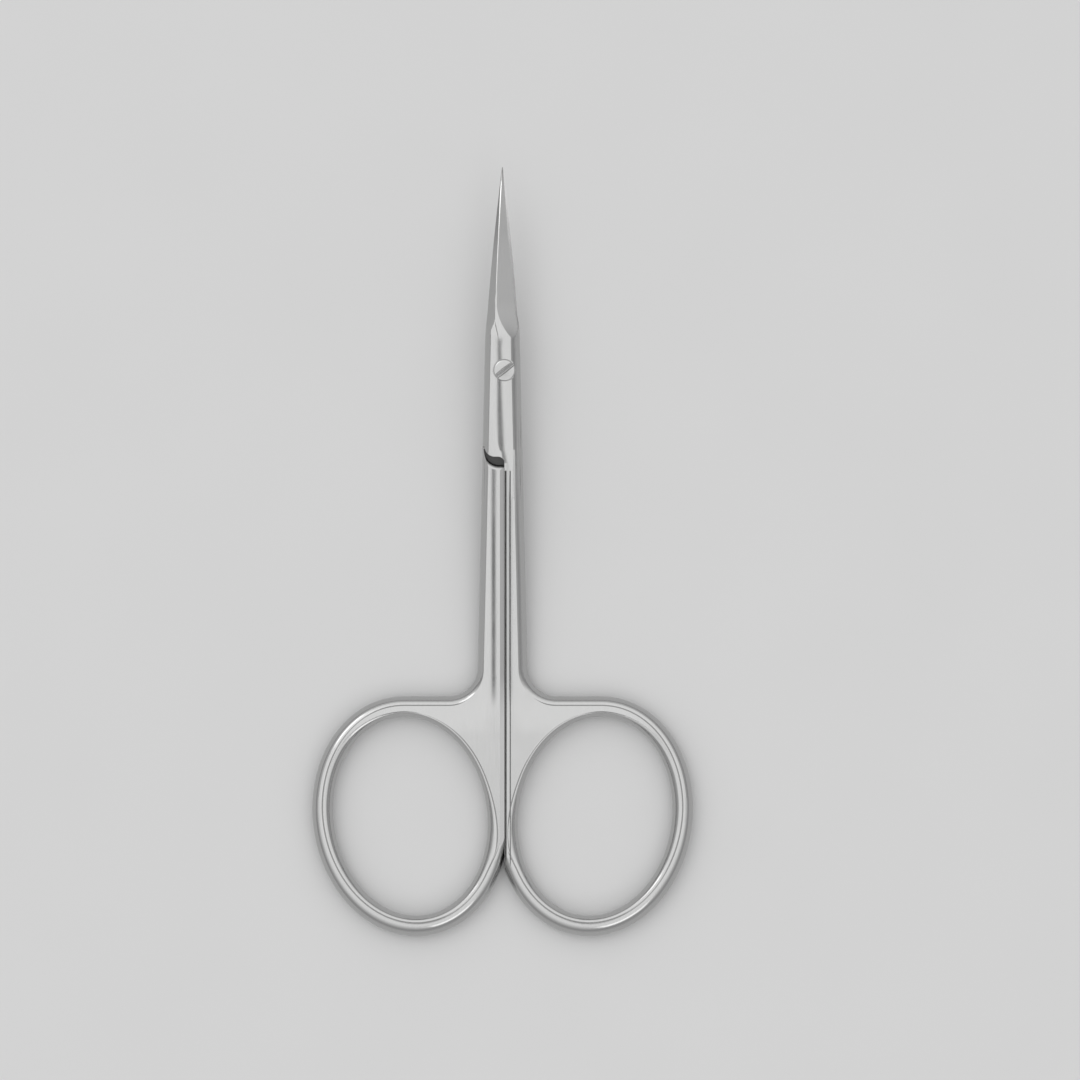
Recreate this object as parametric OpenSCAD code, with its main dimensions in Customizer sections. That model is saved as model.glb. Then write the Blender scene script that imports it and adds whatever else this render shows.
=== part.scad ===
// Small curved-tip scissors of forged steel, closed.
// They lie on the backs of the finger rings, screw head up, tips toward +Y.
// The arms rise from the rings at the elbow, and the tips curl down again.

/* [Blades] */
// Length from the screw's axis to the tip
blade_len = 27.9; // [20:0.1:36]
// Width of the closed pair at the root of the blades
blade_root_w = 3.95; // [3:0.05:4.6]
// Width of the closed pair at the very tip
blade_tip_w = 0.3; // [0.2:0.05:0.8]
// How far the long edges bulge past a straight taper
blade_belly = 0.1; // [0:0.01:0.3]
// Thickness of the closed pair at the root of the blades
blade_root_t = 2.8; // [2:0.1:3.3]
// Thickness of the closed pair at the very tip
blade_tip_t = 0.34; // [0.24:0.02:0.8]
// Long gentle sweep of the tip toward the back
blade_sweep = 0.45; // [0:0.05:1.5]
// Extra hook in the last few millimetres
tip_hook = 1.2; // [0:0.1:2.5]
// Height of a blade's ground cutting edge
edge_land = 0.08; // [0.05:0.01:0.2]
// How far a cutting edge stays inside the other blade's spine
edge_inset = 0.34; // [0.1:0.02:0.6]
// Height of the upright foot of a blade's spine
spine_foot = 0.22; // [0.1:0.02:0.5]
// Place of the ridge between the middle (0) and the spine (1)
ridge_place = 0.48; // [0.2:0.02:0.8]

/* [Lap joint] */
// Width of the lap at the screw
lap_w = 5; // [4.6:0.1:7]
// Length of the lap above the screw's axis, up to its sloping shoulders
lap_top = 4.6; // [3:0.1:8]
// Length over which the lap turns into the blades
shoulder_len = 4.4; // [3:0.1:6]
// Length of the lap plates below the screw's axis
lap_low = 12; // [9:0.1:18]
// Gap between the two lap plates, and between the halves along the seam
lap_gap = 0.05; // [0.03:0.01:0.15]
// Sideways place of the screw and the seam, from the middle of the scissors
seam_x = 0.27; // [-0.5:0.01:0.5]
// Radius of the lap plate's outer lower corner
lap_corner_r = 1.4; // [0.8:0.1:2]
// Radius of the hollow where the lap plate turns down into its arm
lap_hollow_r = 0.6; // [0.3:0.1:1]
// Radius of the hollow shoulder on the arm beside the other half's lap plate
notch_r = 2.5; // [2:0.1:3]
// Distance from the screw's axis to the middle of the hollow shoulder, along the length
notch_y = 10.95; // [10.5:0.05:16]
// Distance from the seam to the middle of the hollow shoulder
notch_x = 0.35; // [0.2:0.05:0.6]

/* [Screw] */
// Diameter of the screw's head
head_d = 3.03; // [2.6:0.01:4]
// Height of the head above the steel
head_h = 0.63; // [0.4:0.01:1.2]
// Width of the bevel round the head
head_bevel = 0.22; // [0.1:0.02:0.4]
// Depth of the round seat that the head lies in
seat_depth = 0.12; // [0.05:0.01:0.4]
// Gap round the head in its seat
seat_gap = 0.1; // [0.05:0.01:0.3]
// Width of the driver slot
slot_w = 0.6; // [0.4:0.02:0.9]
// Depth of the driver slot
slot_depth = 0.36; // [0.2:0.02:0.6]
// Turn of the driver slot from the width of the scissors
slot_turn = 38; // [0:1:180]
// Diameter of the screw's shank, and of the threaded hole
shank_d = 2; // [1.4:0.1:2.4]
// Running clearance round the shank in the upper half's bore
bore_clear = 0.03; // [0.01:0.01:0.08]
// Depth of the screw's end below the back face
end_recess = 0.25; // [0.1:0.05:0.6]

/* [Arms] */
// Thickness of the arms and of both lap plates together
thickness = 3.54; // [3:0.02:4.4]
// Width of the closed pair of arms where the fillets to the rings begin
arm_end_w = 6.9; // [6.2:0.1:9]
// How far an arm's rounded side bulges past the edge of its flat face
side_bulge = 1.15; // [0.7:0.05:1.3]
// Radius of the fillet between an arm and its ring
fillet_r = 4; // [2.5:0.1:6]
// Width of the bevel along the seam on each half
seam_bevel_w = 0.6; // [0.2:0.05:0.9]
// Depth of the bevel along the seam
seam_bevel_t = 0.22; // [0.1:0.02:0.4]
// Angle between the arms and the rings
elbow_angle = 4.75; // [2:0.25:8]
// Distance from the rings' top edge up to the elbow
elbow_lead = 0.8; // [0:0.1:1.4]
// Radius of the bend at the elbow
elbow_r = 30; // [5:1:40]

/* [Rings] */
// Distance from the screw's axis to the middle of the finger holes, along the length
ring_y = 62.2; // [58:0.1:76]
// Distance from the middle of the scissors to the middle of a finger hole
ring_x = 12.85; // [12:0.05:15]
// Length of a finger hole
hole_l = 27.8; // [24:0.1:32]
// Width of a finger hole
hole_w = 21.4; // [18:0.1:23]
// Width of a ring's rim
rim_w = 2.85; // [2.4:0.05:3.6]
// How much thinner the rings and webs are than the arms
rim_thinning = 0.04; // [0.02:0.02:0.6]
// Lean of the finger holes, tops outward
ring_tilt = 8.5; // [0:0.5:15]

/* [Quality] */
// Number of slices along each blade
blade_slices = 26; // [12:1:40]
// Number of sections round each finger hole, apart from those along the web
ring_slices = 54; // [36:6:72]

/* [Hidden] */
$fn = 96;
steel = "#a9aaa8";
screw_steel = "#b4b5b3";

overlap = 0.3;
// How far a cutter reaches past what it cuts
past = 1;
half_t = thickness / 2;
half_gap = lap_gap / 2;
// A length that reaches past the whole object
far = 4 * ring_y;

// Rounded side of the arms, laps and rims: an arc that stands side_bulge past its ends
side_r = (half_t * half_t + side_bulge * side_bulge) / (2 * side_bulge);

// Ring: an oval hole that leans outward, inside a rim of even width
ring_top = -ring_y + norm([sin(ring_tilt) * hole_w / 2, cos(ring_tilt) * hole_l / 2]) + rim_w;
ring_bottom = -2 * ring_y - ring_top;
rim_half_t = half_t - rim_thinning / 2;

// Arm: its side line leans out toward the ring and meets a round fillet
fillet_y = ring_top + fillet_r;
arm_slope = (arm_end_w - lap_w) / 2 / -fillet_y;
arm_lean = atan(arm_slope);
fillet_x = arm_end_w / 2 + fillet_r / cos(arm_lean);
elbow_y = ring_top + elbow_lead;

// Blades: sizes at a distance y from the screw's axis
blade_root = lap_top + shoulder_len;
function toward_root(y) = (blade_len - y) / (blade_len - blade_root);
function blade_half_w(y) = (blade_tip_w + (blade_root_w - blade_tip_w) * toward_root(y)) / 2
  + 4 * blade_belly * toward_root(y) * (1 - toward_root(y));
function blade_half_t(y) = (blade_tip_t + (blade_root_t - blade_tip_t) * toward_root(y)) / 2;
hook_power = 18;
function curl(y) = blade_sweep * pow(y / blade_len, 2) + tip_hook * pow(y / blade_len, hook_power);
// The curl begins where the lap ends
function drop(y) = curl(max(y, lap_top)) - curl(lap_top);
tip_drop = drop(blade_len) + blade_half_t(blade_len);

// Place of the whole object: origin under the middle of its box
top_y = elbow_y + (blade_len - elbow_y) * cos(elbow_angle) + tip_drop * sin(elbow_angle);
middle_y = (top_y + ring_bottom) / 2;

// Steel toward +x from a rounded side at x = 0
module edge_profile(w) {
  intersection() {
    translate([0, -half_t]) square([w, thickness]);
    union() {
      translate([side_r, 0]) circle(side_r);
      translate([side_bulge, -half_t]) square([w, thickness]);
    }
  }
}

function side_in(z) = side_r - sqrt(side_r * side_r - z * z);
function turned(p) = [
  p[0] * cos(ring_tilt) + p[1] * sin(ring_tilt),
  p[1] * cos(ring_tilt) - p[0] * sin(ring_tilt)];
function mix(a, b, m) = a + (b - a) * m;

// Bends a point of the flat half at the elbow, so that the arms rise from the plane of the rings
elbow_t = elbow_r * tan(elbow_angle / 2);
function bend(p) =
  let (y = p[1] - elbow_y, turn = elbow_angle * min(1, max(0, (y + elbow_t) / (2 * elbow_t))))
  y > elbow_t ? [p[0], elbow_y + y * cos(elbow_angle) - p[2] * sin(elbow_angle),
                 y * sin(elbow_angle) + p[2] * cos(elbow_angle)]
  : y < -elbow_t ? p
  : [p[0], elbow_y - elbow_t + (elbow_r - p[2]) * sin(turn), elbow_r - (elbow_r - p[2]) * cos(turn)];

// Stations round the hole, each [place on the outline, its outward direction, angle on the hole]:
// round the rim from its top, past the seam, up into the arm, down the fillet and back to the top.
// The web starts web_reach past the seam and ends arm_reach up the arm
web_reach = 2;
arm_reach = 1.6;
// How far a root stays inside the rounded side that it grows from
root_inset = 0.02;
// Angles on the hole where the rim ends by the seam, and beside the web, its two top corners and the fillet
seam_t = 268;
web_t = [272, 282];
corner_t = [286, 288];
fillet_t = [290, 330];
fillet_steps = 8;
round_steps = 4;
quarters = [0.25, 0.5, 0.75];
function hole_point(t) = [ring_x, -ring_y] + turned([sin(t) * hole_w / 2, cos(t) * hole_l / 2]);
function hole_out(t) = let (d = turned([sin(t) * hole_l, cos(t) * hole_w])) d / norm(d);
function rim_stations(seam) =
  let (top_t = -atan(tan(ring_tilt) * hole_w / hole_l), web_x = seam - web_reach,
       web_top = fillet_y + arm_reach, arm_x = lap_w / 2 - arm_slope * web_top - root_inset,
       web_from = hole_point(seam_t)[1] + rim_w * hole_out(seam_t)[1] + web_reach,
       top_x = hole_point(top_t)[0] + rim_w * hole_out(top_t)[0])
  concat(
    [for (i = [0:ring_slices]) let (t = mix(top_t, seam_t, i / ring_slices))
      [hole_point(t) + rim_w * hole_out(t), hole_out(t), t]],
    [for (m = [0:0.5:1]) [[web_x, mix(web_from, elbow_y, m)], [-1, 0], mix(web_t[0], web_t[1], m)]],
    [[[web_x, web_top], [-1, 1] / sqrt(2), corner_t[0]], [[arm_x, web_top], [1, 1] / sqrt(2), corner_t[1]]],
    [for (i = [0:fillet_steps])
      let (m = i / fillet_steps, a = mix(180 + arm_lean, 270, m), out = -[cos(a), sin(a)])
      [[fillet_x, fillet_y] - (fillet_r + root_inset) * out, out, mix(fillet_t[0], fillet_t[1], m)]],
    [for (m = quarters) [[mix(fillet_x, top_x, m), ring_top], [0, 1], mix(fillet_t[1], 360 + top_t, m)]]);

// One rounded side of a section, from the lower flat round to the upper one, as [depth, height]
side_steps = [for (i = [-round_steps:round_steps])
  let (z = rim_half_t * sin(90 * i / round_steps)) [side_in(z), z]];
function rim_section(s) =
  let (hole = hole_point(s[2]), out = hole_out(s[2]), last = 2 * round_steps,
       inner = [for (p = side_steps) [each hole + out * p[0], p[1]]],
       outer = [for (i = [last:-1:0]) let (p = side_steps[i]) [each s[0] - s[1] * p[0], p[1]]])
  concat(inner, [for (m = quarters) mix(inner[last], outer[0], m)],
         outer, [for (m = quarters) mix(outer[last], inner[0], m)]);

// Ring, web and fillet at the right for side = 1, or turned over for side = -1
module ring_and_web(side) {
  sections = [for (s = rim_stations(side * seam_x)) rim_section(s)];
  n = len(sections[0]);
  count = len(sections);
  points = [for (r = sections) for (p = r) bend([side * p[0], p[1], side * p[2]])];
  faces = [for (i = [0:count - 1]) for (k = [0:n - 1])
    let (next_i = (i + 1) % count, next_k = (k + 1) % n,
         a = i * n + k, b = i * n + next_k, c = next_i * n + k, d = next_i * n + next_k)
    each [[a, b, c], [b, d, c]]];
  polyhedron(points, faces, convexity = 8);
}

// Right side of the bar, rounded along the leaning side line
module side_bar() {
  translate([lap_w / 2, 0, 0]) rotate([90, 0, arm_lean]) translate([0, 0, -lap_top])
    linear_extrude(height = lap_top - fillet_y / cos(arm_lean)) mirror([1, 0]) edge_profile(2 * arm_end_w);
}

// Arms and laps of the closed pair as one bar
module closed_bar() {
  intersection() {
    side_bar();
    mirror([1, 0, 0]) side_bar();
    translate([-far / 2, fillet_y, -far / 2]) cube([far, lap_top - fillet_y, far]);
  }
}

// Plan of a lap plate and its arm, seam at x = 0 and arm at the right
module lap_plan(corner_x) {
  plate_top = lap_top + overlap;
  translate([half_gap, -far]) square([far, far + plate_top]);
  translate([-far, lap_corner_r - lap_low]) square([far + past, lap_low - lap_corner_r + plate_top]);
  translate([corner_x, -lap_low]) square([past - corner_x, lap_corner_r + overlap]);
  translate([corner_x, lap_corner_r - lap_low]) circle(lap_corner_r);
  difference() {
    translate([half_gap - lap_hollow_r, -lap_low - lap_hollow_r]) square(lap_hollow_r + overlap);
    translate([half_gap - lap_hollow_r, -lap_low - lap_hollow_r]) circle(lap_hollow_r);
  }
}

// Plan of the arm below its hollow shoulder, seam at x = 0
module arm_plan() {
  difference() {
    translate([half_gap, -far]) square([far, far - notch_y]);
    translate([notch_x, -notch_y]) circle(notch_r);
  }
}

// Arm, fillet or web of one half, with the seam's edges bevelled; side as for ring_and_web
module bevel_seam(side, from_y, to_y, edge_z) {
  slope = seam_bevel_t / seam_bevel_w;
  difference() {
    children();
    for (turn = [0, 180]) rotate([0, turn, 0])
      translate([(turn > 0 ? -1 : 1) * (seam_x + side * half_gap), 0, 0])
        mirror([turn > 0 ? (side > 0 ? 1 : 0) : (side > 0 ? 0 : 1), 0, 0])
          translate([0, from_y, edge_z]) rotate([90, 0, 0]) linear_extrude(height = from_y - to_y)
            polygon([[-past, -seam_bevel_t - slope * past], [seam_bevel_w + past, slope * past],
                     [-past, seam_bevel_t]]);
  }
}

// Arm and lap plate of one half, in the plane of the laps: plate on top, arm at the right
module flat_arm(seam) {
  intersection() {
    closed_bar();
    translate([seam, 0, 0]) union() {
      translate([0, 0, half_gap]) linear_extrude(height = far) lap_plan(lap_corner_r - lap_w / 2 - seam);
      translate([0, 0, -far]) linear_extrude(height = far + half_gap + overlap) arm_plan();
    }
  }
}

// Turns what is drawn in the plane of the laps up about the elbow
module raise() {
  translate([0, elbow_y, 0]) rotate([elbow_angle, 0, 0]) translate([0, -elbow_y, 0]) children();
}

// Cross-section of the upper blade at y, spine at the left, from the spine's foot round to the edge
lap_heights = [half_gap, 0.45 * half_t, 0.8 * half_t, half_t - root_inset];
edge_inset_share = 0.32;
ridge_flat_share = 0.04;
function lap_section(w) = [
  for (z = lap_heights) [side_in(z) - w, z],
  for (i = [3:-1:0]) let (z = lap_heights[i]) [w - side_in(z), z]];
function blade_section(w, t) =
  let (ridge = -ridge_place * w, edge = w - min(edge_inset, edge_inset_share * w),
       foot = min(spine_foot, t / 2), land = half_gap + min(edge_land, t / 3))
  [[-w, half_gap], [-w, foot], [(ridge - w) / 2, (foot + t) / 2], [ridge, t],
   [ridge + ridge_flat_share * w, t], [(ridge + edge) / 2, (land + t) / 2], [edge, land], [edge, half_gap]];
function slice(y) =
  let (m = min(1, max(0, (y - lap_top) / shoulder_len)), root = max(y, blade_root),
       w = mix(lap_w / 2 - root_inset, blade_half_w(root), m))
  [for (i = [0:7]) mix(lap_section(w)[i], blade_section(w, blade_half_t(root))[i], m)];

// Upper blade for side = 1, lower blade for side = -1
module blade(side) {
  n = 8;
  points = [for (i = [0:blade_slices]) let (y = mix(lap_top - overlap, blade_len, i / blade_slices))
    for (p = slice(y)) [side * p[0], y, side * p[1] - drop(y)]];
  sides = [for (i = [0:blade_slices - 1]) for (k = [0:n - 1])
    let (a = i * n + k, b = i * n + (k + 1) % n) each [[a, a + n, b], [b, a + n, b + n]]];
  ends = [[for (k = [0:n - 1]) k], [for (k = [n - 1:-1:0]) blade_slices * n + k]];
  polyhedron(points, concat(sides, ends), convexity = 6);
}

module at_screw() {
  raise() translate([seam_x, 0, 0]) children();
}

module in_place() {
  translate([0, -middle_y, rim_half_t]) children();
}

// One whole half: the upper one with its arm at the right for side = 1, the lower one for side = -1
module half(side) {
  raise() {
    bevel_seam(side, -lap_low - lap_hollow_r, elbow_y, half_t)
      rotate([0, side > 0 ? 0 : 180, 0]) flat_arm(side * seam_x);
    blade(side);
  }
  intersection() {
    ring_and_web(side);
    translate([side > 0 ? seam_x + half_gap : seam_x - half_gap - far, -far, -far / 2])
      cube([far, 2 * far, far]);
  }
}

module front_half() {
  color(steel) in_place() difference() {
    half(1);
    at_screw() {
      cylinder(d = shank_d + 2 * bore_clear, h = far, center = true);
      translate([0, 0, half_t - seat_depth]) cylinder(d = head_d + 2 * seat_gap, h = far);
    }
  }
}

module rear_half() {
  color(steel) in_place() difference() {
    half(-1);
    at_screw() cylinder(d = shank_d, h = far, center = true);
  }
}

module pivot_screw() {
  seat = half_t - seat_depth;
  top = half_t + head_h;
  color(screw_steel) in_place() at_screw() difference() {
    union() {
      rotate_extrude() polygon([
        [0, seat - overlap], [shank_d / 2, seat - overlap], [shank_d / 2, seat], [head_d / 2, seat],
        [head_d / 2, top - head_bevel], [head_d / 2 - head_bevel, top], [0, top]]);
      translate([0, 0, end_recess - half_t]) cylinder(d = shank_d, h = seat + half_t - end_recess);
    }
    rotate([0, 0, slot_turn]) translate([-head_d, -slot_w / 2, top - slot_depth])
      cube([2 * head_d, slot_w, far]);
  }
}

front_half();
rear_half();
pivot_screw();
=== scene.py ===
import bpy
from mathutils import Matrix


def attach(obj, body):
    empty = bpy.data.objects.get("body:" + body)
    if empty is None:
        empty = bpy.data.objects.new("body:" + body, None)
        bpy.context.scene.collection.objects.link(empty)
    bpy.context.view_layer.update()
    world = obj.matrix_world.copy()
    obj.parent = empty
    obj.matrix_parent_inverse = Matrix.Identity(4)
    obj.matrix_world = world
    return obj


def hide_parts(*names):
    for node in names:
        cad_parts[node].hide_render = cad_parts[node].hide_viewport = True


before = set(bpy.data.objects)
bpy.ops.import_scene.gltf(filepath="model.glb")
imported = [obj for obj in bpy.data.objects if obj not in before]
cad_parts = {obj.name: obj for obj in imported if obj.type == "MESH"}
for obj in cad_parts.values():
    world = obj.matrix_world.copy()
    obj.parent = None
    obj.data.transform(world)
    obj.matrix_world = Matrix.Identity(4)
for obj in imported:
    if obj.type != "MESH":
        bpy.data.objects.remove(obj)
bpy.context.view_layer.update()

import math
import bmesh
import bpy
from mathutils import Vector
from mathutils.geometry import tessellate_polygon

# each half is made flat in millimetres, with Y from the screw's axis toward the tips,
# and side is 1 for the front half and -1 for the rear one, which is made mirrored
mm = 0.001
farX, farY, farZ = 30, 99, 9      # beyond every side of a half, for the cutters


def mix(first, second, share):
    return first + (second - first) * share


def smoothStep(low, high, value):
    share = min(1, max(0, (value - low) / (high - low)))
    return share * share * (3 - 2 * share)


def arcPoints(centerX, centerY, radius, fromAngle, toAngle, steps):
    turns = [math.radians(fromAngle + (toAngle - fromAngle) * step / steps) for step in range(steps + 1)]
    return [(centerX + radius * math.cos(turn), centerY + radius * math.sin(turn)) for turn in turns]


def meshObject(name, mesh):
    piece = bpy.data.objects.new(name, mesh)
    bpy.context.scene.collection.objects.link(piece)
    return piece


def closedObject(name, shape):
    bmesh.ops.recalc_face_normals(shape, faces=shape.faces)
    mesh = bpy.data.meshes.new(name)
    shape.to_mesh(mesh)
    shape.free()
    return meshObject(name, mesh)


def loft(name, rings):
    # a closed solid through rings that all have the same number of points
    shape = bmesh.new()
    rows = [[shape.verts.new(point) for point in ring] for ring in rings]
    shape.faces.new(rows[0])
    shape.faces.new(rows[-1])
    for row, after in zip(rows, rows[1:]):
        for index in range(len(row)):
            following = (index + 1) % len(row)
            shape.faces.new((row[index], row[following], after[following], after[index]))
    return closedObject(name, shape)


def prism(name, outline, low, high, place=Vector):
    return loft(name, [[place(Vector((x, y, z))) for x, y in outline] for z in (low, high)])


def settle(piece):
    # what the modifiers make becomes the piece's own plain mesh
    graph = bpy.context.evaluated_depsgraph_get()
    graph.update()
    settled = bpy.data.meshes.new_from_object(piece.evaluated_get(graph))
    worn = piece.data
    piece.modifiers.clear()
    piece.data = settled
    bpy.data.meshes.remove(worn)
    settled.name = piece.name


def cutAway(piece, cutters):
    for cutter in cutters:
        cut = piece.modifiers.new("cut", "BOOLEAN")
        cut.operation, cut.solver, cut.object = "DIFFERENCE", "EXACT", cutter
        settle(piece)
        bpy.data.meshes.remove(cutter.data)


forging = {
    "halfThick": 1.75,
    "lapWidth": 5.0,
    "armEndWidth": 6.9,           # both arms together where the fillets begin
    "filletRadius": 4.0,
    "holeLong": 27.8,
    "holeWide": 21.4,
    "holeX": 12.85,
    "holeY": -62.2,
    "holeTilt": 8.5,
    "rimWidth": 2.85,
    "rimTrim": 0.006,             # keeps the foot of a ring inside the solids' box
    "elbowAngle": 4.75,
    "elbowLead": 0.8,             # from the tops of the rings up to the elbow
    "elbowRadius": 62.0,
    "elbowStations": 8,
    "webStations": 7,
    "webStep": 0.5,
    "armStations": (-6, -18, -30),
    "ringFrom": 268,              # turn round the hole where the ring leaves the seam
    "ringSteps": 150,
    "topSteps": 6,
    "filletSteps": 24,
    "filletLine": 0.4,            # share of the fillet's turn over which the ring's line fades
    "holeSteps": 160,
    "sideSteps": 10,              # steps on the upper half of a rounded side
    # how far a rounded side stands past the edge of its flat, by side where the halves differ
    "armBulge": {1: 1.25, -1: 0.85},
    "lapBulge": {1: 0.83, -1: 1.25},
    "rimBulges": (1.12, 1.36, 1.85),   # at the top, middle and bottom of a ring
    "seamBulge": 0.75,
    "webBulge": 0.8,
    "holeBulgeMost": 1.45,
    "rimCrest": 0.26,             # crest of a ring, with a fine line cut along it
    "lineWide": 0.18,
    "lineDeep": 0.12,
    "lineLeast": 0.15,            # share of the line's width that stays where it ends
    # turns in degrees round the hole, from its top past the free side to the seam
    "ringToSeam": (232, 258),
    "outerLineEnd": (252, 236),
    "holeLineStart": (236, 252),
    "holeLineEnd": (300, 345),
    "webStart": (240, 286),
    "webEnd": (62, 0),
    # the arms and laps are thickest along a crest and fall away to both sides
    "crownRadius": 7.0,
    "armCrest": {1: 0.95, -1: 1.26},
    "lapCrest": -0.43,
    "crestShift": (-14, -9),
    "crownTop": (7, 3),
    "crownDown": 6.0,             # it runs on below the elbow by this much
    "crownStep": 0.25,
    "elbowBlend": 1.0,
    "webFall": 0.2,               # the most that the steel falls away on the web and on the arm
    "armFall": 9.0,
    "sharpAngle": 11,
}

halfThick = forging["halfThick"]
profileSteps = forging["sideSteps"] + 2
holeLean = math.radians(forging["holeTilt"])
ringTop = forging["rimWidth"] + forging["holeY"] + math.hypot(
    math.sin(holeLean) * forging["holeWide"] / 2, math.cos(holeLean) * forging["holeLong"] / 2)
ringBottom = 2 * forging["holeY"] - ringTop
filletY = ringTop + forging["filletRadius"]
armSlope = (forging["armEndWidth"] - forging["lapWidth"]) / 2 / -filletY
armLean = math.atan(armSlope)
filletX = forging["armEndWidth"] / 2 + forging["filletRadius"] / math.cos(armLean)
elbowY = ringTop + forging["elbowLead"]
elbowTurn = math.radians(forging["elbowAngle"])


def holePoint(turn):
    x, y = math.sin(turn) * forging["holeWide"] / 2, math.cos(turn) * forging["holeLong"] / 2
    return (forging["holeX"] + x * math.cos(holeLean) + y * math.sin(holeLean),
            forging["holeY"] + y * math.cos(holeLean) - x * math.sin(holeLean))


def holeOut(turn):
    x, y = math.sin(turn) * forging["holeLong"], math.cos(turn) * forging["holeWide"]
    size = math.hypot(x, y)
    return ((x * math.cos(holeLean) + y * math.sin(holeLean)) / size,
            (y * math.cos(holeLean) - x * math.sin(holeLean)) / size)


def sideX(y):
    return forging["lapWidth"] / 2 - armSlope * y


def rimBulge(turn):
    top, middle, bottom = forging["rimBulges"]
    outY = holeOut(math.radians(turn))[1]
    free = middle + outY * ((top - middle) if outY > 0 else (middle - bottom))
    return mix(free, forging["seamBulge"], smoothStep(*forging["ringToSeam"], turn))


def outlinePath(side):
    # from the lap's free side down to the ring, round it and up the arm, where each entry is
    # x, y, how far a point moves outward per millimetre of inset, bulge, crispness and depth of line
    start, stations = blades["start"], forging["armStations"]
    leanX = 1 / math.cos(armLean)
    lap, arm = forging["lapBulge"][side], forging["armBulge"][side]
    path = [(-sideX(y), y, -leanX, 0, lap, 1, 0) for y in (start, *stations, elbowY)]
    fromTurn = forging["ringFrom"]
    hole, out = holePoint(math.radians(fromTurn)), holeOut(math.radians(fromTurn))
    joinY = hole[1] + forging["rimWidth"] * out[1]
    path.append((-sideX(joinY), joinY, -1, -1, lap, 1, 0))
    path.append((hole[0] + forging["rimWidth"] * out[0], joinY, -1, -1, rimBulge(fromTurn), 0, 0))
    topTurn = -math.degrees(math.atan(math.tan(holeLean) * forging["holeWide"] / forging["holeLong"]))
    steps = forging["ringSteps"]
    for step in range(1, steps + 1):
        turn = fromTurn + (topTurn - fromTurn) * step / steps
        hole, out = holePoint(math.radians(turn)), holeOut(math.radians(turn))
        rim = forging["rimWidth"] - forging["rimTrim"] * (1 - out[1])
        path.append((hole[0] + rim * out[0], hole[1] + rim * out[1],
                     *out, rimBulge(turn), 0, smoothStep(*forging["outerLineEnd"], turn)))
    topX, topBulge, steps = path[-1][0], forging["rimBulges"][0], forging["topSteps"]
    for step in range(1, steps):
        path.append((topX + (filletX - topX) * step / steps, ringTop, 0, 1, topBulge, 0, 1))
    steps = forging["filletSteps"]
    for step in range(steps + 1):
        turn = math.radians(270) + (armLean - math.radians(90)) * step / steps
        share = smoothStep(0, 1, step / steps)
        line = 1 - smoothStep(0, forging["filletLine"], share)
        path.append((filletX + forging["filletRadius"] * math.cos(turn),
                     filletY + forging["filletRadius"] * math.sin(turn), -math.cos(turn), -math.sin(turn),
                     topBulge + (arm - topBulge) * share, share, line))
    path += [(sideX(y), y, leanX, 0, arm, 1, 0) for y in (*stations[::-1], start)]
    return path


def holePath():
    steps = forging["holeSteps"]
    path = []
    for step in range(steps):
        turn = 360 * step / steps
        out = holeOut(math.radians(turn))
        web = max(smoothStep(*forging["webStart"], turn), smoothStep(*forging["webEnd"], turn))
        free = min(forging["rimWidth"] - forging["rimCrest"] - rimBulge(turn), forging["holeBulgeMost"])
        line = smoothStep(*forging["holeLineStart"], turn) * (1 - smoothStep(*forging["holeLineEnd"], turn))
        path.append((*holePoint(math.radians(turn)), -out[0], -out[1],
                     free + (forging["webBulge"] - free) * web, 0, line))
    return path


def sideAt(bulge, crisp, step, line=0):
    # inset and height of a rounded side, from half a steel arc (crisp) to a quarter oval (soft),
    # and then of the fine line cut along the edge of the flat
    share = min(1, abs(step) / forging["sideSteps"])
    radius = (halfThick ** 2 + bulge ** 2) / (2 * bulge)
    turn = math.asin(min(1, halfThick / radius)) * share
    oval = math.pi / 2 * share
    inset = crisp * radius * (1 - math.cos(turn)) + (1 - crisp) * bulge * (1 - math.cos(oval))
    height = crisp * radius * math.sin(turn) + (1 - crisp) * halfThick * math.sin(oval)
    past = max(0, abs(step) - forging["sideSteps"])
    inset += past * forging["lineWide"] / 2 * max(forging["lineLeast"], line)
    if past == 1:
        height -= line * forging["lineDeep"]
    return inset, math.copysign(height, step)


def strip(shape, path, closed):
    rows = []
    for x, y, outX, outY, bulge, crisp, line in path:
        row = []
        for step in range(-profileSteps, profileSteps + 1):
            inset, z = sideAt(bulge, crisp, step, line)
            row.append(shape.verts.new((x - outX * inset, y - outY * inset, z)))
        rows.append(row)
    polished = list(halfSteels).index("Polished Steel")
    pairs = list(zip(rows, rows[1:])) + ([(rows[-1], rows[0])] if closed else [])
    for row, after in pairs:
        for step in range(2 * profileSteps):
            face = shape.faces.new((row[step], after[step], after[step + 1], row[step + 1]))
            face.material_index = polished
    return rows


def flat(shape, loops, up):
    verts = [vert for loop in loops for vert in loop]
    points = [[Vector((vert.co.x, vert.co.y, 0)) for vert in loop] for loop in loops]
    for corners in tessellate_polygon(points):
        corner = [verts[index] for index in corners]
        turn = (corner[1].co - corner[0].co).cross(corner[2].co - corner[0].co).z
        if abs(turn) > 1e-12:     # three corners in line make no face
            shape.faces.new(corner if (turn > 0) == up else corner[::-1])


def crowned(point, side):
    crest = mix(forging["armCrest"][side], forging["lapCrest"], smoothStep(*forging["crestShift"], point.y))
    blend = forging["elbowBlend"]
    share = smoothStep(elbowY - forging["crownDown"], elbowY + blend, point.y)
    share *= smoothStep(*forging["crownTop"], point.y)
    # where the arm spreads into the web, the fall levels off
    onArm = smoothStep(elbowY - blend, filletY + forging["filletRadius"], point.y) ** 2
    limit = mix(forging["webFall"], forging["armFall"], onArm)
    fall = limit * (1 - math.exp((point.x - crest) ** 2 / (-2 * forging["crownRadius"] * limit)))
    return point.z * (1 - share * fall / halfThick)


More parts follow.
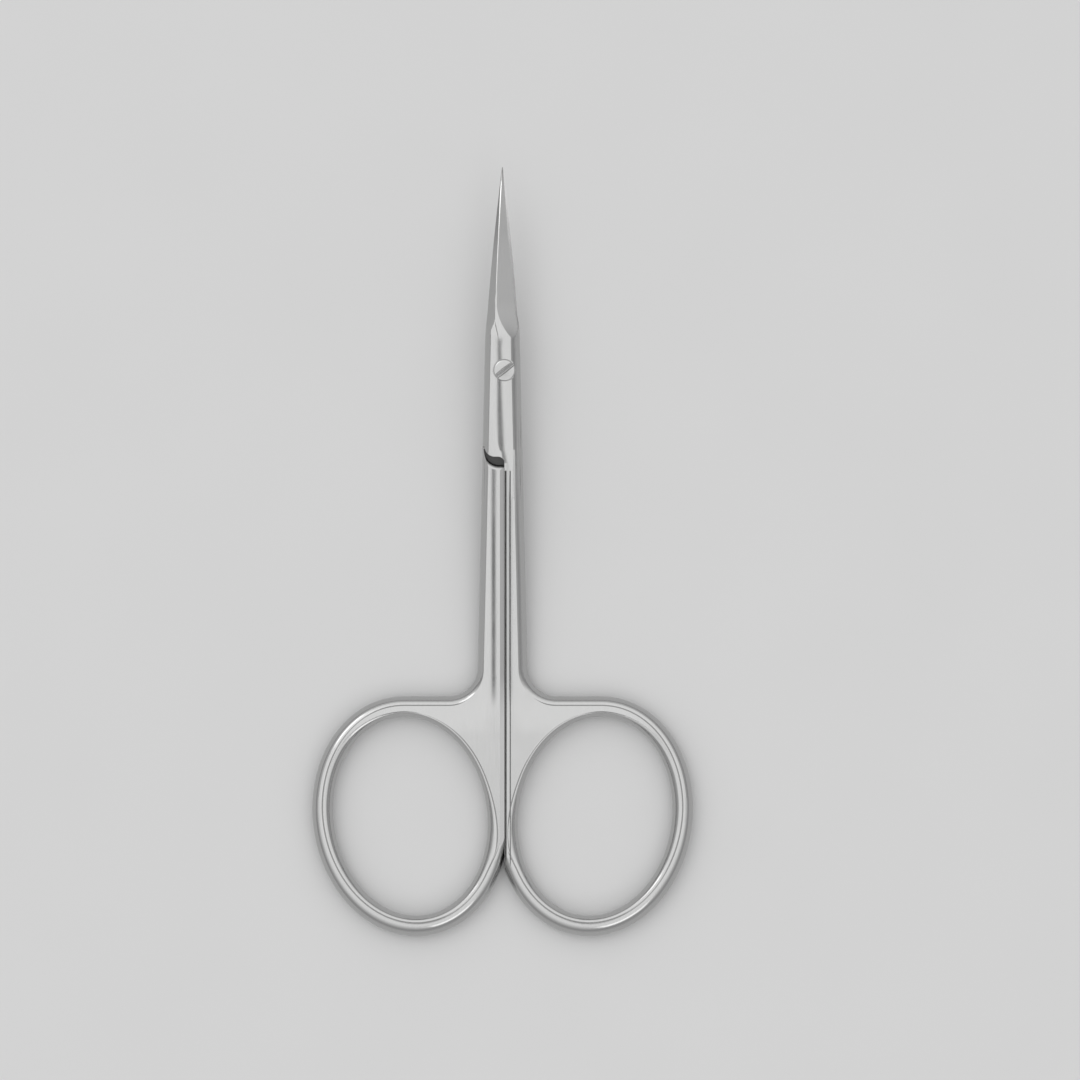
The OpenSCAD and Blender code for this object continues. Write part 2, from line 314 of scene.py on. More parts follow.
blades = {
    "length": 27.9,
    "start": 3.0,                 # the sections of the blade begin here, on the lap
    "lapTop": 4.6,
    "shoulder": 4.4,
    "shoulderSoft": 0.4,
    "rootWidth": 3.95,
    "tipWidth": 0.14,
    "belly": 0.1,
    "rootThick": 2.8,             # both blades together
    "tipThick": 0.34,
    "ridgePlace": 0.48,
    "ridgeCap": 0.045,            # narrow polished cap along the ridge
    "capLean": 0.2,
    "capRise": 0.12,
    "edgeInset": 0.34,
    "edgeShare": 0.32,            # the most of the blade's half width that the inset takes
    "edgeLand": 0.08,
    "spineFoot": 0.22,
    "taperFrom": 3.9,             # the flat of the lap curves down from here
    "taperOnset": 1.4,
    "taperSlope": 0.095,
    "taperBeyond": 0.045,         # and less steeply where the ground face has begun
    "wheelFrom": 9.6,             # the ground face leaves its plane here
    "wheelRadius": 10.6,
    "bevelFrom": 7.3,             # and the spine's bevel here
    "bevelRadius": 2.3,
    "crease": ((-0.52, 3.95, 1.755), (-0.66, 5.0, 1.63), (-0.94, 6.2, 1.52), (-1.16, 7.3, 1.525)),
    "creaseWide": 0.42,
    "creaseHigh": 0.6,
    "leastHeight": 0.03,
    "underDepths": (0.3, 0.5),    # least and most of the blank below a blade, which is ground off
    "sweep": 0.45,
    "hook": 1.2,
    "hookPower": 18,
    "slices": 300,
    "stations": 70,
    "across": 44,
    "evenLead": 0.8,
}
bladeRoot = blades["lapTop"] + blades["shoulder"]


def curl(y):
    part = y / blades["length"]
    return blades["sweep"] * part ** 2 + blades["hook"] * part ** blades["hookPower"]


# from the tips to the feet of the rings, seen from above once the elbow and the curl are bent
tipDrop = curl(blades["length"]) - curl(blades["lapTop"]) + blades["tipThick"] / 2
topY = elbowY + (blades["length"] - elbowY) * math.cos(elbowTurn) + tipDrop * math.sin(elbowTurn)
middleY = (topY + ringBottom) / 2


def bladeShare(y):
    return (blades["length"] - y) / (blades["length"] - bladeRoot)


def bladeHalfWide(y):
    share = bladeShare(y)
    return mix(blades["tipWidth"], blades["rootWidth"], share) / 2 + 4 * blades["belly"] * share * (1 - share)


def bladeHeight(y):
    return mix(blades["tipThick"], blades["rootThick"], bladeShare(y)) / 2


def edgeInset(wide):
    return min(blades["edgeInset"], blades["edgeShare"] * wide)


def outlineAt(y):
    share, soft = min(1, max(0, (y - blades["lapTop"]) / blades["shoulder"])), blades["shoulderSoft"]
    share = smoothStep(0, 1, share) * soft + share * (1 - soft)
    wide = mix(sideX(min(y, blades["lapTop"])), bladeHalfWide(max(y, bladeRoot)), share)
    return wide, wide - share * edgeInset(wide)


def groundHeight(x, y, wide, edge, side):
    # the lowest of the ground face, the spine's bevel, the lap's taper, the cap and the rounded side
    wideLine = bladeHalfWide(y)
    ridgeX, ridgeZ = -blades["ridgePlace"] * wideLine, bladeHeight(y)
    edgeX = wideLine - edgeInset(wideLine)
    land = seam["halfGap"] + min(blades["edgeLand"], ridgeZ / 3)
    beforeWheel = max(0, blades["wheelFrom"] - y)
    face = mix(ridgeZ, land, (x - ridgeX) / (edgeX - ridgeX)) + beforeWheel ** 2 / (2 * blades["wheelRadius"])
    foot = min(blades["spineFoot"], ridgeZ / 2)
    bevel = mix(foot, ridgeZ, (x + wideLine) / (ridgeX + wideLine))
    bevel += max(0, blades["bevelFrom"] - y) ** 2 / (2 * blades["bevelRadius"])
    along, onset = min(y, blades["wheelFrom"]) - blades["taperFrom"], blades["taperOnset"]
    curved, straight = max(0, min(along, onset)), max(0, along - onset)
    taper = halfThick - blades["taperSlope"] * (curved ** 2 / (2 * onset) + straight)
    taper -= blades["taperBeyond"] * max(0, y - blades["wheelFrom"])
    cap = ridgeZ - blades["ridgeCap"] + blades["capLean"] * (x - ridgeX) + beforeWheel * blades["capRise"]
    onLeft = x + wide < edge - x
    bulge = forging["lapBulge" if onLeft else "armBulge"][side]
    away = min(x + wide, edge - x, bulge)
    radius = (halfThick ** 2 + bulge ** 2) / (2 * bulge)
    rounded = math.sqrt(max(0, radius ** 2 - (radius - away) ** 2))
    return max(blades["leastHeight"], min(face, bevel, taper, cap, halfThick if away >= bulge else rounded))


def sectionAt(y, side):
    # from the right edge over the top to the left edge, with the points evenly spread past the shoulder
    wide, edge = outlineAt(y)
    steps, across, lead = profileSteps, blades["across"], blades["evenLead"]
    arm, free = forging["armBulge"][side], forging["lapBulge"][side]
    lap = [edge - sideAt(arm, 1, step)[0] for step in range(steps + 1)]
    lap += [mix(lap[-1], free - wide, step / across) for step in range(1, across)]
    lap += [sideAt(free, 1, step)[0] - wide for step in range(steps, -1, -1)]
    count = len(lap) - 1
    spread = min(1, max(0, (y - blades["start"]) / (bladeRoot - blades["start"])))
    section = []
    for index, lapX in enumerate(lap):
        even = mix(edge, -wide, min(1, max(0, (index - lead) / (count - 2 * lead))))
        x = mix(lapX, even, spread)
        section.append((x, 0 if index in (0, count) else groundHeight(x, y, wide, edge, side)))
    return section


def blankHalf(name, side):
    # arm, web and ring as strips and flats, and the lap and the blade lofted on from there
    shape = bmesh.new()
    outer = strip(shape, outlinePath(side), False)
    hole = strip(shape, holePath(), True)
    across, start = blades["across"], blades["start"]
    left, right = outer[0], outer[-1]
    top, bottom = [], []
    for step in range(1, across):
        share = step / across
        top.append(shape.verts.new((mix(right[-1].co.x, left[-1].co.x, share), start, halfThick)))
        bottom.append(shape.verts.new((mix(right[0].co.x, left[0].co.x, share), start, -halfThick)))
    flat(shape, [[row[-1] for row in outer] + top, [row[-1] for row in hole]], True)
    flat(shape, [[row[0] for row in outer] + bottom, [row[0] for row in hole]], False)
    loop = right + top + left[::-1] + bottom[::-1]
    least, most = blades["underDepths"]
    for step in range(1, blades["slices"] + 1):
        y = mix(start, blades["length"], step / blades["slices"])
        upper = sectionAt(y, side)
        under = [(x, -min(most, z + least)) for x, z in upper]
        # the lower points run from the left edge back to the right one
        ordered = under[profileSteps:0:-1] + upper + under[len(under) - 2:profileSteps:-1]
        after = [shape.verts.new((x, y, z)) for x, z in ordered]
        count = len(after)
        for index in range(count):
            following = (index + 1) % count
            shape.faces.new((loop[index], after[index], after[following], loop[following]))
        loop = after
    shape.faces.new(loop)
    return closedObject(name, shape)


def creaseCutter():
    # the crease that the lap's crest turns into, up to the point where the ridge splits
    wide, high = blades["creaseWide"], blades["creaseHigh"]
    return loft("crease", [((x, y, z), (x + wide, y, z + high), (x - wide, y, z + high))
                           for x, y, z in blades["crease"]])


lapJoint = {
    "low": 12.0,                  # lower end of a lap plate
    "corner": 1.4,
    "cornerSteps": 14,
    "hollow": 0.9,                # hollow corner between the lap plate and the seam
    "hollowSteps": 10,
    "notchRadius": 2.25,
    "notchX": 0.62,
    "notchY": -10.95,
    "notchSteps": 32,
    "floorLead": 0.1,             # the painted shade on the notch's floor starts this far below notchY
    "shoulderRound": 0.95,        # soft shoulder from the notch up to the arm's face
    "shoulderSteps": 8,
    "shoulderShare": 0.96,        # of its quarter circle, so that it still meets the face at an angle
}
seam = {
    "place": 0.27,                # the seam and the screw lie this far to the right of the middle
    "halfGap": 0.025,             # half the gap between the halves
    "bevelWide": 0.6,
    "bevelDeep": 0.22,
    # fine lines along the front half: x from its seam, width and depth
    "grooves": ((0.78, 0.2, 0.14), (0.13, 0.4, 0.5)),
    "grooveLead": 0.2,            # they start this far inside the soft shoulder
}


def belowLap(seamX):
    # clears the other half's lap plate, and widens toward the face of the arm into a soft shoulder
    centerX, centerY = seamX + lapJoint["notchX"], lapJoint["notchY"]
    soft, steps = lapJoint["shoulderRound"], lapJoint["shoulderSteps"]
    levels = [(seam["halfGap"], 0)]
    for step in range(steps + 1):
        part = step / steps
        grown = soft * (1 - math.sqrt(1 - (lapJoint["shoulderShare"] * part) ** 2))
        levels.append((soft - halfThick - soft * part, grown))
    levels.append((-farZ, soft))
    rings = []
    for z, grown in levels:
        radius = lapJoint["notchRadius"] + grown
        outline = [(farX, centerY - grown), (farX, farY), (-farX, farY), (-farX, centerY - radius)]
        outline += arcPoints(centerX, centerY, radius, 270, 360, lapJoint["notchSteps"])
        rings.append([(x, y, z) for x, y in outline])
    return loft("belowLap", rings)


def besideSeam(edge):
    corner, hollow, low = lapJoint["corner"], lapJoint["hollow"], -lapJoint["low"]
    outline = [(-farX, low + corner)]
    outline += arcPoints(corner - forging["lapWidth"] / 2, low + corner, corner, 180, 270,
                         lapJoint["cornerSteps"])
    outline += arcPoints(edge - hollow, low - hollow, hollow, 90, 0, lapJoint["hollowSteps"])
    outline += [(edge, -farY), (-farX, -farY)]
    return prism("besideSeam", outline, -farZ, farZ)


def alongSeam(name, outline, x, top, face):
    # a groove with this outline, from top down to beyond the rings, on the front (1) or back (-1)
    return prism(name, outline, 0, farY + top,
                 lambda point: Vector((x + point.x, top - point.z, face * (halfThick + point.y))))


def seamBevel(edge, face):
    wide, deep = seam["bevelWide"], seam["bevelDeep"]
    slope = deep / wide
    # the plane of the bevel, carried on past the seam and above the face
    outline = [(-2, -deep - 2 * slope), (wide + 1, slope), (wide + 1, 1), (-2, 1)]
    return alongSeam("seamBevel", outline, edge, -lapJoint["low"] - lapJoint["hollow"], face)


def seamGroove(x, wide, deep, face):
    # a V whose walls stand upright above the face
    outline = [(0, -deep), (wide / 2, 0.02), (wide / 2, 0.3), (-wide / 2, 0.3), (-wide / 2, 0.02)]
    top = lapJoint["notchY"] - lapJoint["notchRadius"] - lapJoint["shoulderRound"] + seam["grooveLead"]
    return alongSeam("seamGroove", outline, x, top, face)


def roundCutter(name, x, radius, low, high, steps=96):
    return prism(name, arcPoints(x, 0, radius, 0, 360 - 360 / steps, steps - 1), low, high)


def halfCutters(side):
    # what is ground and drilled away from the closed blank
    seamX = side * seam["place"]
    edge = seamX + seam["halfGap"]
    bore = screw["shank"] / 2 + (screw["boreGap"] if side > 0 else 0)
    cutters = [belowLap(seamX), besideSeam(edge), seamBevel(edge, 1), seamBevel(edge, -1),
               roundCutter("bore", seamX, bore, -farZ, farZ)]
    if side > 0:
        for face in (1, -1):
            for place, wide, deep in seam["grooves"]:
                cutters.append(seamGroove(edge + place, wide, deep, face))
        cutters.append(creaseCutter())
        cutters.append(roundCutter("seat", seamX, screw["headWidth"] / 2 + screw["seatGap"],
                                   halfThick - screw["seat"], farZ))
    return cutters


def sliceFlats(mesh, places, axis, lowY, leastLong=0.25):
    # long faces are cut across at these places, so that they can be crowned and bent
    shape = bmesh.new()
    shape.from_mesh(mesh)
    plane = Vector((axis == 0, axis == 1, 0))
    for place in places:
        crossed = [face for face in shape.faces
                   if min(v.co[axis] for v in face.verts) < place < max(v.co[axis] for v in face.verts)
                   and max(v.co.y for v in face.verts) > lowY
                   and max(v.co.y for v in face.verts) - min(v.co.y for v in face.verts) > leastLong]
        geometry = set(crossed)
        for face in crossed:
            geometry.update(face.verts)
            geometry.update(face.edges)
        bmesh.ops.bisect_plane(shape, geom=list(geometry), dist=1e-5, plane_co=plane * place, plane_no=plane)
    shape.to_mesh(mesh)
    shape.free()


def paintNotchShade(mesh):
    # painted shade: the floor of the hollow beside the other half's lap plate gets a dark steel that stands
    # in for the shadow in this deep recess
    high = lapJoint["notchY"] - lapJoint["floorLead"]
    low = lapJoint["notchY"] - lapJoint["notchRadius"] - lapJoint["shoulderRound"]
    for face in mesh.polygons:
        onFloor = abs(face.center.z - seam["halfGap"]) < 0.01 and abs(face.normal.z) > 0.9
        if onFloor and low < face.center.y < high:
            face.material_index = list(halfSteels).index("Notch Shade Steel")


def bendTree():
    # the elbow and the curl of the blades are one rule for every point, then come the steels
    tree = bpy.data.node_groups.new("elbowAndCurl", "GeometryNodeTree")
    face = tree.interface
    face.new_socket("Geometry", in_out="INPUT", socket_type="NodeSocketGeometry")
    sizes = {"Elbow Turn": elbowTurn, "Elbow Place": elbowY, "Elbow Radius": forging["elbowRadius"],
             "Sweep": blades["sweep"], "Hook": blades["hook"], "Hook Power": blades["hookPower"],
             "Blade Length": blades["length"], "Lap Top": blades["lapTop"], "Middle": middleY,
             "Half Thickness": halfThick, "Scale": mm}
    for name, value in sizes.items():
        face.new_socket(name, in_out="INPUT", socket_type="NodeSocketFloat").default_value = value
    for label in halfSteels:
        face.new_socket(label, in_out="INPUT", socket_type="NodeSocketMaterial")
    face.new_socket("Geometry", in_out="OUTPUT", socket_type="NodeSocketGeometry")
    nodes, links = tree.nodes, tree.links
    given = nodes.new("NodeGroupInput").outputs

    def calc(operation, *values):
        node = nodes.new("ShaderNodeMath")
        node.operation = operation
        for socket, value in zip(node.inputs, values):
            if isinstance(value, (int, float)):
                socket.default_value = value
            else:
                links.new(value, socket)
        return node.outputs[0]

    place = nodes.new("ShaderNodeSeparateXYZ")
    links.new(nodes.new("GeometryNodeInputPosition").outputs[0], place.inputs[0])
    x, y, z = place.outputs

    def curlAt(distance):
        part = calc("DIVIDE", distance, given["Blade Length"])
        return calc("ADD", calc("MULTIPLY", given["Sweep"], calc("POWER", part, 2)),
                    calc("MULTIPLY", given["Hook"], calc("POWER", part, given["Hook Power"])))

    lowered = calc("SUBTRACT", z, calc("SUBTRACT", curlAt(calc("MAXIMUM", y, given["Lap Top"])),
                                       curlAt(given["Lap Top"])))
    reach = calc("MULTIPLY", given["Elbow Radius"], calc("TANGENT", calc("DIVIDE", given["Elbow Turn"], 2)))
    away = calc("SUBTRACT", y, given["Elbow Place"])
    along = calc("ADD", away, reach)
    share = calc("MINIMUM", calc("MAXIMUM", calc("DIVIDE", along, calc("MULTIPLY", reach, 2)), 0), 1)
    turn = calc("MULTIPLY", given["Elbow Turn"], share)
    radius = calc("SUBTRACT", given["Elbow Radius"], lowered)
    beyond = calc("MAXIMUM", calc("SUBTRACT", away, reach), 0)
    before = calc("MINIMUM", along, 0)
    sine, cosine = calc("SINE", turn), calc("COSINE", turn)
    newY = calc("ADD", calc("ADD", calc("SUBTRACT", given["Elbow Place"], reach), before),
                calc("ADD", calc("MULTIPLY", radius, sine), calc("MULTIPLY", beyond, cosine)))
    newZ = calc("ADD", calc("SUBTRACT", given["Elbow Radius"], calc("MULTIPLY", radius, cosine)),
                calc("MULTIPLY", beyond, sine))
    moved = nodes.new("ShaderNodeCombineXYZ")
    scale = given["Scale"]
    links.new(calc("MULTIPLY", x, scale), moved.inputs[0])
    links.new(calc("MULTIPLY", calc("SUBTRACT", newY, given["Middle"]), scale), moved.inputs[1])
    links.new(calc("MULTIPLY", calc("ADD", newZ, given["Half Thickness"]), scale), moved.inputs[2])
    setPlace = nodes.new("GeometryNodeSetPosition")
    links.new(given["Geometry"], setPlace.inputs["Geometry"])
    links.new(moved.outputs[0], setPlace.inputs["Position"])
    realize = nodes.new("GeometryNodeRealizeInstances")
    links.new(setPlace.outputs[0], realize.inputs[0])
    finish = realize.outputs[0]
    for index, label in enumerate(halfSteels):
        chosen = nodes.new("FunctionNodeCompare")
        chosen.data_type, chosen.operation = "INT", "EQUAL"
        links.new(nodes.new("GeometryNodeInputMaterialIndex").outputs[0], chosen.inputs["A"])
        next(item for item in chosen.inputs if item.name == "B" and item.type == "INT").default_value = index
        setSteel = nodes.new("GeometryNodeSetMaterial")
        links.new(finish, setSteel.inputs["Geometry"])
        links.new(chosen.outputs[0], setSteel.inputs["Selection"])
        links.new(given[label], setSteel.inputs["Material"])
        finish = setSteel.outputs[0]
    links.new(finish, nodes.new("NodeGroupOutput").inputs[0])
    return tree


def setInput(modifier, name, value):
    for item in modifier.node_group.interface.items_tree:
        if item.name == name and item.in_out == "INPUT":
            modifier[item.identifier] = value


def crownAndBendPlaces():
    # stations at the elbow, on the web below it, along the blade and at the notch's floor
    reach = forging["elbowRadius"] * math.tan(elbowTurn / 2)
    elbow, web, blade = forging["elbowStations"], forging["webStations"], blades["stations"]
    places = [elbowY + reach * step / elbow for step in range(-elbow, elbow + 1)]
    places += [elbowY - reach - forging["webStep"] * step for step in range(1, web + 1)]
    places += [mix(blades["lapTop"], blades["length"], step / blade) for step in range(blade)]
    return places + [lapJoint["notchY"] - lapJoint["floorLead"]]


def forgeHalf(name, side):
    piece = blankHalf(name, side)
    for steel in halfSteels.values():
        piece.data.materials.append(steel)
    print("blank of", name, len(piece.data.polygons), "faces")
    cutAway(piece, halfCutters(side))
    # across the arm first, from the lap's free side to past the fillet
    sliceFlats(piece.data, [forging["crownStep"] * step for step in range(-10, 25)], 0,
               elbowY - forging["crownDown"])
    sliceFlats(piece.data, crownAndBendPlaces(), 1, -farY)
    # painted shade: the notch's floor gets the dark steel
    paintNotchShade(piece.data)
    for vert in piece.data.vertices:
        vert.co = (side * vert.co.x, vert.co.y, side * crowned(vert.co, side))
    rule = piece.modifiers.new("elbowAndCurl", "NODES")
    rule.node_group = ruleTree
    for label, steel in halfSteels.items():
        setInput(rule, label, steel)
    settle(piece)
    piece.data.shade_smooth()
    piece.data.set_sharp_from_angle(angle=math.radians(forging["sharpAngle"]))
    even = piece.modifiers.new("even", "WEIGHTED_NORMAL")
    even.keep_sharp = True
    settle(piece)
    print(name, len(piece.data.polygons), "faces")
    return piece


steels = {
    "groundSteel": {"grey": 0.49, "rough": 0.15, "grain": (9000, 400, 9000)},
    "polishedSteel": {"grey": 0.49, "rough": 0.14, "grain": (5000, 600, 5000)},
    # painted shade: a near-black steel for the notch's floor, standing in for the shadow in that recess
    "notchShadeSteel": {"grey": 0.1, "rough": 0.5, "grain": (3000, 3000, 3000)},
    "turnedSteel": {"grey": 0.48, "rough": 0.18, "grain": (9000, 9000, 500)},
    "warmth": 0.005,              # less of blue than of red and green
    "greySpread": 0.05,
    "roughSpread": (-0.05, 0.06),
    "cloudScale": 260.0,
    "grainDeep": 0.00002,
    "grainStrength": 0.06,
}


def satinSteel(name):
    finish = steels[name]
    steel = bpy.data.materials.new(name)
    steel.use_nodes = True
    nodes, links = steel.node_tree.nodes, steel.node_tree.links
    shader = nodes["Principled BSDF"]
    shader.inputs["Metallic"].default_value = 1.0
    coords = nodes.new("ShaderNodeTexCoord")
    stretch = nodes.new("ShaderNodeMapping")
    stretch.inputs["Scale"].default_value = finish["grain"]
    links.new(coords.outputs["Object"], stretch.inputs["Vector"])
    grain = nodes.new("ShaderNodeTexNoise")
    grain.inputs["Scale"].default_value = 1.0
    grain.inputs["Detail"].default_value = 4.0
    links.new(stretch.outputs[0], grain.inputs["Vector"])
    clouds = nodes.new("ShaderNodeTexNoise")
    clouds.inputs["Scale"].default_value = steels["cloudScale"]
    clouds.inputs["Detail"].default_value = 5.0
    links.new(coords.outputs["Object"], clouds.inputs["Vector"])
    tone = nodes.new("ShaderNodeMapRange")
    less, more = steels["roughSpread"]
    tone.inputs["To Min"].default_value = finish["rough"] + less
    tone.inputs["To Max"].default_value = finish["rough"] + more
    links.new(clouds.outputs["Fac"], tone.inputs["Value"])
    links.new(tone.outputs[0], shader.inputs["Roughness"])
    shade = nodes.new("ShaderNodeMix")
    shade.data_type = "RGBA"
    for socket, spread in (("A", 1 - steels["greySpread"]), ("B", 1 + steels["greySpread"])):
        grey = finish["grey"] * spread
        shade.inputs[socket].default_value = (grey, grey, finish["grey"] * (spread - steels["warmth"]), 1)
    links.new(grain.outputs["Fac"], shade.inputs["Factor"])
    links.new(shade.outputs["Result"], shader.inputs["Base Color"])
    bump = nodes.new("ShaderNodeBump")
    bump.inputs["Strength"].default_value = steels["grainStrength"]
    bump.inputs["Distance"].default_value = steels["grainDeep"]
    links.new(grain.outputs["Fac"], bump.inputs["Height"])
    links.new(bump.outputs[0], shader.inputs["Normal"])
    return steel


groundSteel, polishedSteel, notchShadeSteel, turnedSteel = (
    satinSteel(name) for name in ("groundSteel", "polishedSteel", "notchShadeSteel", "turnedSteel"))
# the third steel is painted shade, used only on the notch's floor
halfSteels = {"Ground Steel": groundSteel, "Polished Steel": polishedSteel, "Notch Shade Steel": notchShadeSteel}
print("steels mixed")

screw = {
    "headWidth": 3.03,
    "headHeight": 0.63,
    "headLift": 0.02,
    "bevel": 0.22,
    "seat": 0.12,                 # the head is let into the lap by this much
    "seatGap": 0.1,
    "shank": 2.0,
    "boreGap": 0.03,
    "slotWidth": 0.6,
    "slotDepth": 0.36,
    "slotSlope": 0.12,            # lean of the slot's walls
    "slotLips": ((0.02, -0.03), (0.25, 0.2)),   # the broken edges: outward from the wall and up
    "slotTurn": 38.0,
    "cone": 0.09,                 # rise of the head toward its middle
    "endRecess": 0.25,
    "endBevel": 0.12,
    "footBevel": 0.04,
    "turns": 128,
    "sharpAngle": 28,
}
screwPlace = Vector((seam["place"], elbowY - elbowY * math.cos(elbowTurn) - middleY,
                     halfThick - elbowY * math.sin(elbowTurn))) * mm


def screwProfile(top):
    seat, low = halfThick - screw["seat"], screw["endRecess"] - halfThick
    wide, shank, bevel = screw["headWidth"] / 2, screw["shank"] / 2, screw["bevel"]
    end, foot = screw["endBevel"], screw["footBevel"]
    profile = [(0, low), (shank - end, low), (shank, low + end), (shank, seat), (wide - foot, seat),
               (wide, seat + foot)]
    for turn in range(0, 91, 15):
        inward, upward = 1 - math.cos(math.radians(turn)), math.sin(math.radians(turn))
        profile.append((wide - bevel * inward, top - bevel + bevel * upward))
    return profile + [(0, top + screw["cone"])]


def slotCutter(top):
    lean = math.radians(screw["slotTurn"])
    wide, low, reach = screw["slotWidth"] / 2, top - screw["slotDepth"], screw["headWidth"]
    floor = wide - screw["slotSlope"]
    # the walls lean outward, and the upper edges are broken
    outline = [(-floor, low), (floor, low)] + [(wide + out, top + up) for out, up in screw["slotLips"]]
    outline += [(-wide - out, top + up) for out, up in screw["slotLips"][::-1]]
    return prism("slot", outline, -reach, reach,
                 lambda point: Vector((point.z * math.cos(lean) - point.x * math.sin(lean),
                                       point.z * math.sin(lean) + point.x * math.cos(lean), point.y)))


def turnedScrew(name):
    top = halfThick + screw["headLift"] + screw["headHeight"]
    shape = bmesh.new()
    turns = screw["turns"]
    rows = []
    for radius, z in screwProfile(top):
        if radius == 0:
            rows.append([shape.verts.new((0, 0, z))])
        else:
            angles = [2 * math.pi * turn / turns for turn in range(turns)]
            rows.append([shape.verts.new((radius * math.cos(angle), radius * math.sin(angle), z))
                         for angle in angles])
    for row, after in zip(rows, rows[1:]):
        for turn in range(turns):
            following = (turn + 1) % turns
            corners = [row[turn % len(row)], row[following % len(row)], after[following % len(after)],
                       after[turn % len(after)]]
            shape.faces.new(list(dict.fromkeys(corners)))
    piece = closedObject(name, shape)
    cutAway(piece, [slotCutter(top)])
    for vert in piece.data.vertices:
        x, y, z = vert.co
        vert.co = screwPlace + Vector((x, y * math.cos(elbowTurn) - z * math.sin(elbowTurn),
                                       y * math.sin(elbowTurn) + z * math.cos(elbowTurn))) * mm
    piece.data.materials.append(turnedSteel)
    piece.data.shade_smooth()
    piece.data.set_sharp_from_angle(angle=math.radians(screw["sharpAngle"]))
    return piece


ruleTree = bendTree()
frontPiece = forgeHalf("frontSteel", 1)
rearPiece = forgeHalf("rearSteel", -1)
print("halves forged")

screwPiece = turnedScrew("pivotScrewSteel")
print("screw turned")

for piece, body, node, slot in ((frontPiece, "front_body", "front_half", "steel"),
                                (rearPiece, "rear_body", "rear_half", "steel"),
                                (screwPiece, "rear_body", "pivot_screw", "screw_steel")):
    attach(piece, body)
    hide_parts(node)

for node, steel in (("front_half", groundSteel), ("rear_half", groundSteel), ("pivot_screw", turnedSteel)):
    hidden = bpy.data.objects.get(node)
    if hidden:
        for place in hidden.material_slots:
            place.material = steel
print("pieces put on their bodies")

studio = {
    "floorGrey": 0.6,
    "floorSpread": 0.02,
    "floorSize": 3.0,
    # grey of the air by height: pale low down, darker above that, bright overhead
    "air": ((0.0, 0.6), (1.0, 1.3), (0.1, 0.5), (0.24, 0.4), (0.42, 0.58), (0.6, 0.84), (0.8, 1.2)),
    "airLean": (-0.06, 0.2),      # the bright part overhead leans to the left and toward the tips
    # soft dark gap between the overhead panels, that the crests of the arms reflect
    "gapSize": (0.08, 0.09),
    "gapPlace": -0.165,
    "gapGrey": 0.08,
    "gapSoft": (0.6, 1.3),
    # place, width, height and watts
    "leftBox": ((-0.7, 0.6, 1.5), 0.6, 0.9, 2.4),
    "lowBox": ((0.5, -1.1, 1.3), 0.7, 0.4, 1.0),
    "lens": 200.0,
    "sensor": 36.0,
    "frameWidth": 0.150,
    "frameHigh": 0.003,           # height above the floor at which the frame has that width
    "aim": (0.0052, 0.00176),
}


def paleFloor():
    size = studio["floorSize"] / 2
    mesh = bpy.data.meshes.new("floor")
    corners = [(-size, -size, 0), (size, -size, 0), (size, size, 0), (-size, size, 0)]
    mesh.from_pydata(corners, [], [(0, 1, 2, 3)])
    floor = meshObject("floor", mesh)
    paint = bpy.data.materials.new("paleFloor")
    paint.use_nodes = True
    nodes, links = paint.node_tree.nodes, paint.node_tree.links
    shader = nodes["Principled BSDF"]
    shader.inputs["Roughness"].default_value = 0.7
    coords, noise = nodes.new("ShaderNodeTexCoord"), nodes.new("ShaderNodeTexNoise")
    noise.inputs["Scale"].default_value = 40
    tone = nodes.new("ShaderNodeMix")
    tone.data_type = "RGBA"
    for socket, grey in (("A", studio["floorGrey"]), ("B", studio["floorGrey"] + studio["floorSpread"])):
        tone.inputs[socket].default_value = (grey, grey, grey, 1)
    links.new(coords.outputs["Object"], noise.inputs["Vector"])
    links.new(noise.outputs["Fac"], tone.inputs["Factor"])
    links.new(tone.outputs["Result"], shader.inputs["Base Color"])
    mesh.materials.append(paint)


def softBox(name):
    place, wide, high, watts = studio[name]
    light = bpy.data.lights.new(name, "AREA")
    light.shape, light.size, light.size_y, light.energy = "RECTANGLE", wide, high, watts
    lamp = bpy.data.objects.new(name, light)
    bpy.context.scene.collection.objects.link(lamp)
    lamp.location = place
    lamp.rotation_euler = (-Vector(place)).to_track_quat("-Z", "Y").to_euler()


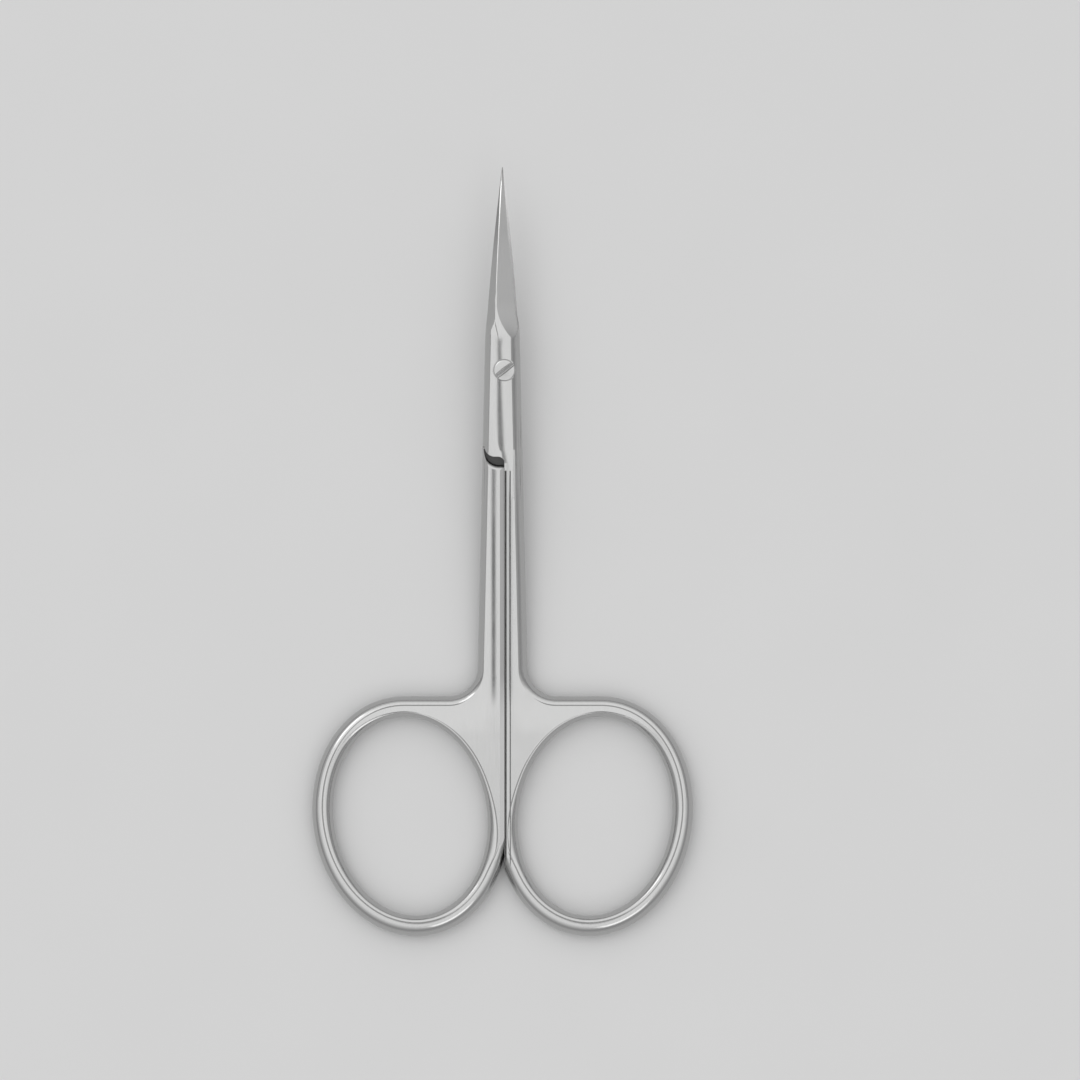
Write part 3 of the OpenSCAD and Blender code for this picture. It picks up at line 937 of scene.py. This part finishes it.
def studioWorld():
    world = bpy.data.worlds.new("studioWorld")
    bpy.context.scene.world = world
    world.use_nodes = True
    nodes, links = world.node_tree.nodes, world.node_tree.links
    coords = nodes.new("ShaderNodeTexCoord")
    height = nodes.new("ShaderNodeVectorMath")
    height.operation = "DOT_PRODUCT"
    height.inputs[1].default_value = (*studio["airLean"], 1)
    links.new(coords.outputs["Generated"], height.inputs[0])
    ramp = nodes.new("ShaderNodeValToRGB")
    links.new(height.outputs["Value"], ramp.inputs["Fac"])
    stops = ramp.color_ramp.elements
    for index, (level, grey) in enumerate(studio["air"]):
        stop = stops[index] if index < 2 else stops.new(level)
        stop.position, stop.color = level, (grey, grey, grey, 1)
    gapWide, gapLong = studio["gapSize"]
    shape = nodes.new("ShaderNodeVectorMath")
    shape.operation = "MULTIPLY_ADD"
    shape.inputs[1].default_value = (1 / gapWide, 1 / gapLong, 0)
    shape.inputs[2].default_value = (0, -studio["gapPlace"] / gapLong, 0)
    links.new(coords.outputs["Generated"], shape.inputs[0])
    away = nodes.new("ShaderNodeVectorMath")
    away.operation = "LENGTH"
    links.new(shape.outputs[0], away.inputs[0])
    gap = nodes.new("ShaderNodeMapRange")
    gap.inputs["From Min"].default_value, gap.inputs["From Max"].default_value = studio["gapSoft"]
    gap.inputs["To Min"].default_value = studio["gapGrey"]
    links.new(away.outputs["Value"], gap.inputs["Value"])
    links.new(ramp.outputs["Color"], nodes["Background"].inputs["Color"])
    links.new(gap.outputs[0], nodes["Background"].inputs["Strength"])


def overheadCamera():
    lens = bpy.data.cameras.new("camera")
    lens.lens, lens.sensor_width, lens.clip_end = studio["lens"], studio["sensor"], 20
    camera = bpy.data.objects.new("camera", lens)
    bpy.context.scene.collection.objects.link(camera)
    away = studio["frameWidth"] * studio["lens"] / studio["sensor"]
    camera.location = (*studio["aim"], away + studio["frameHigh"])
    bpy.context.scene.camera = camera


paleFloor()
softBox("leftBox")
softBox("lowBox")
studioWorld()
overheadCamera()
bpy.context.scene.view_settings.view_transform = "Standard"
print("stage set")
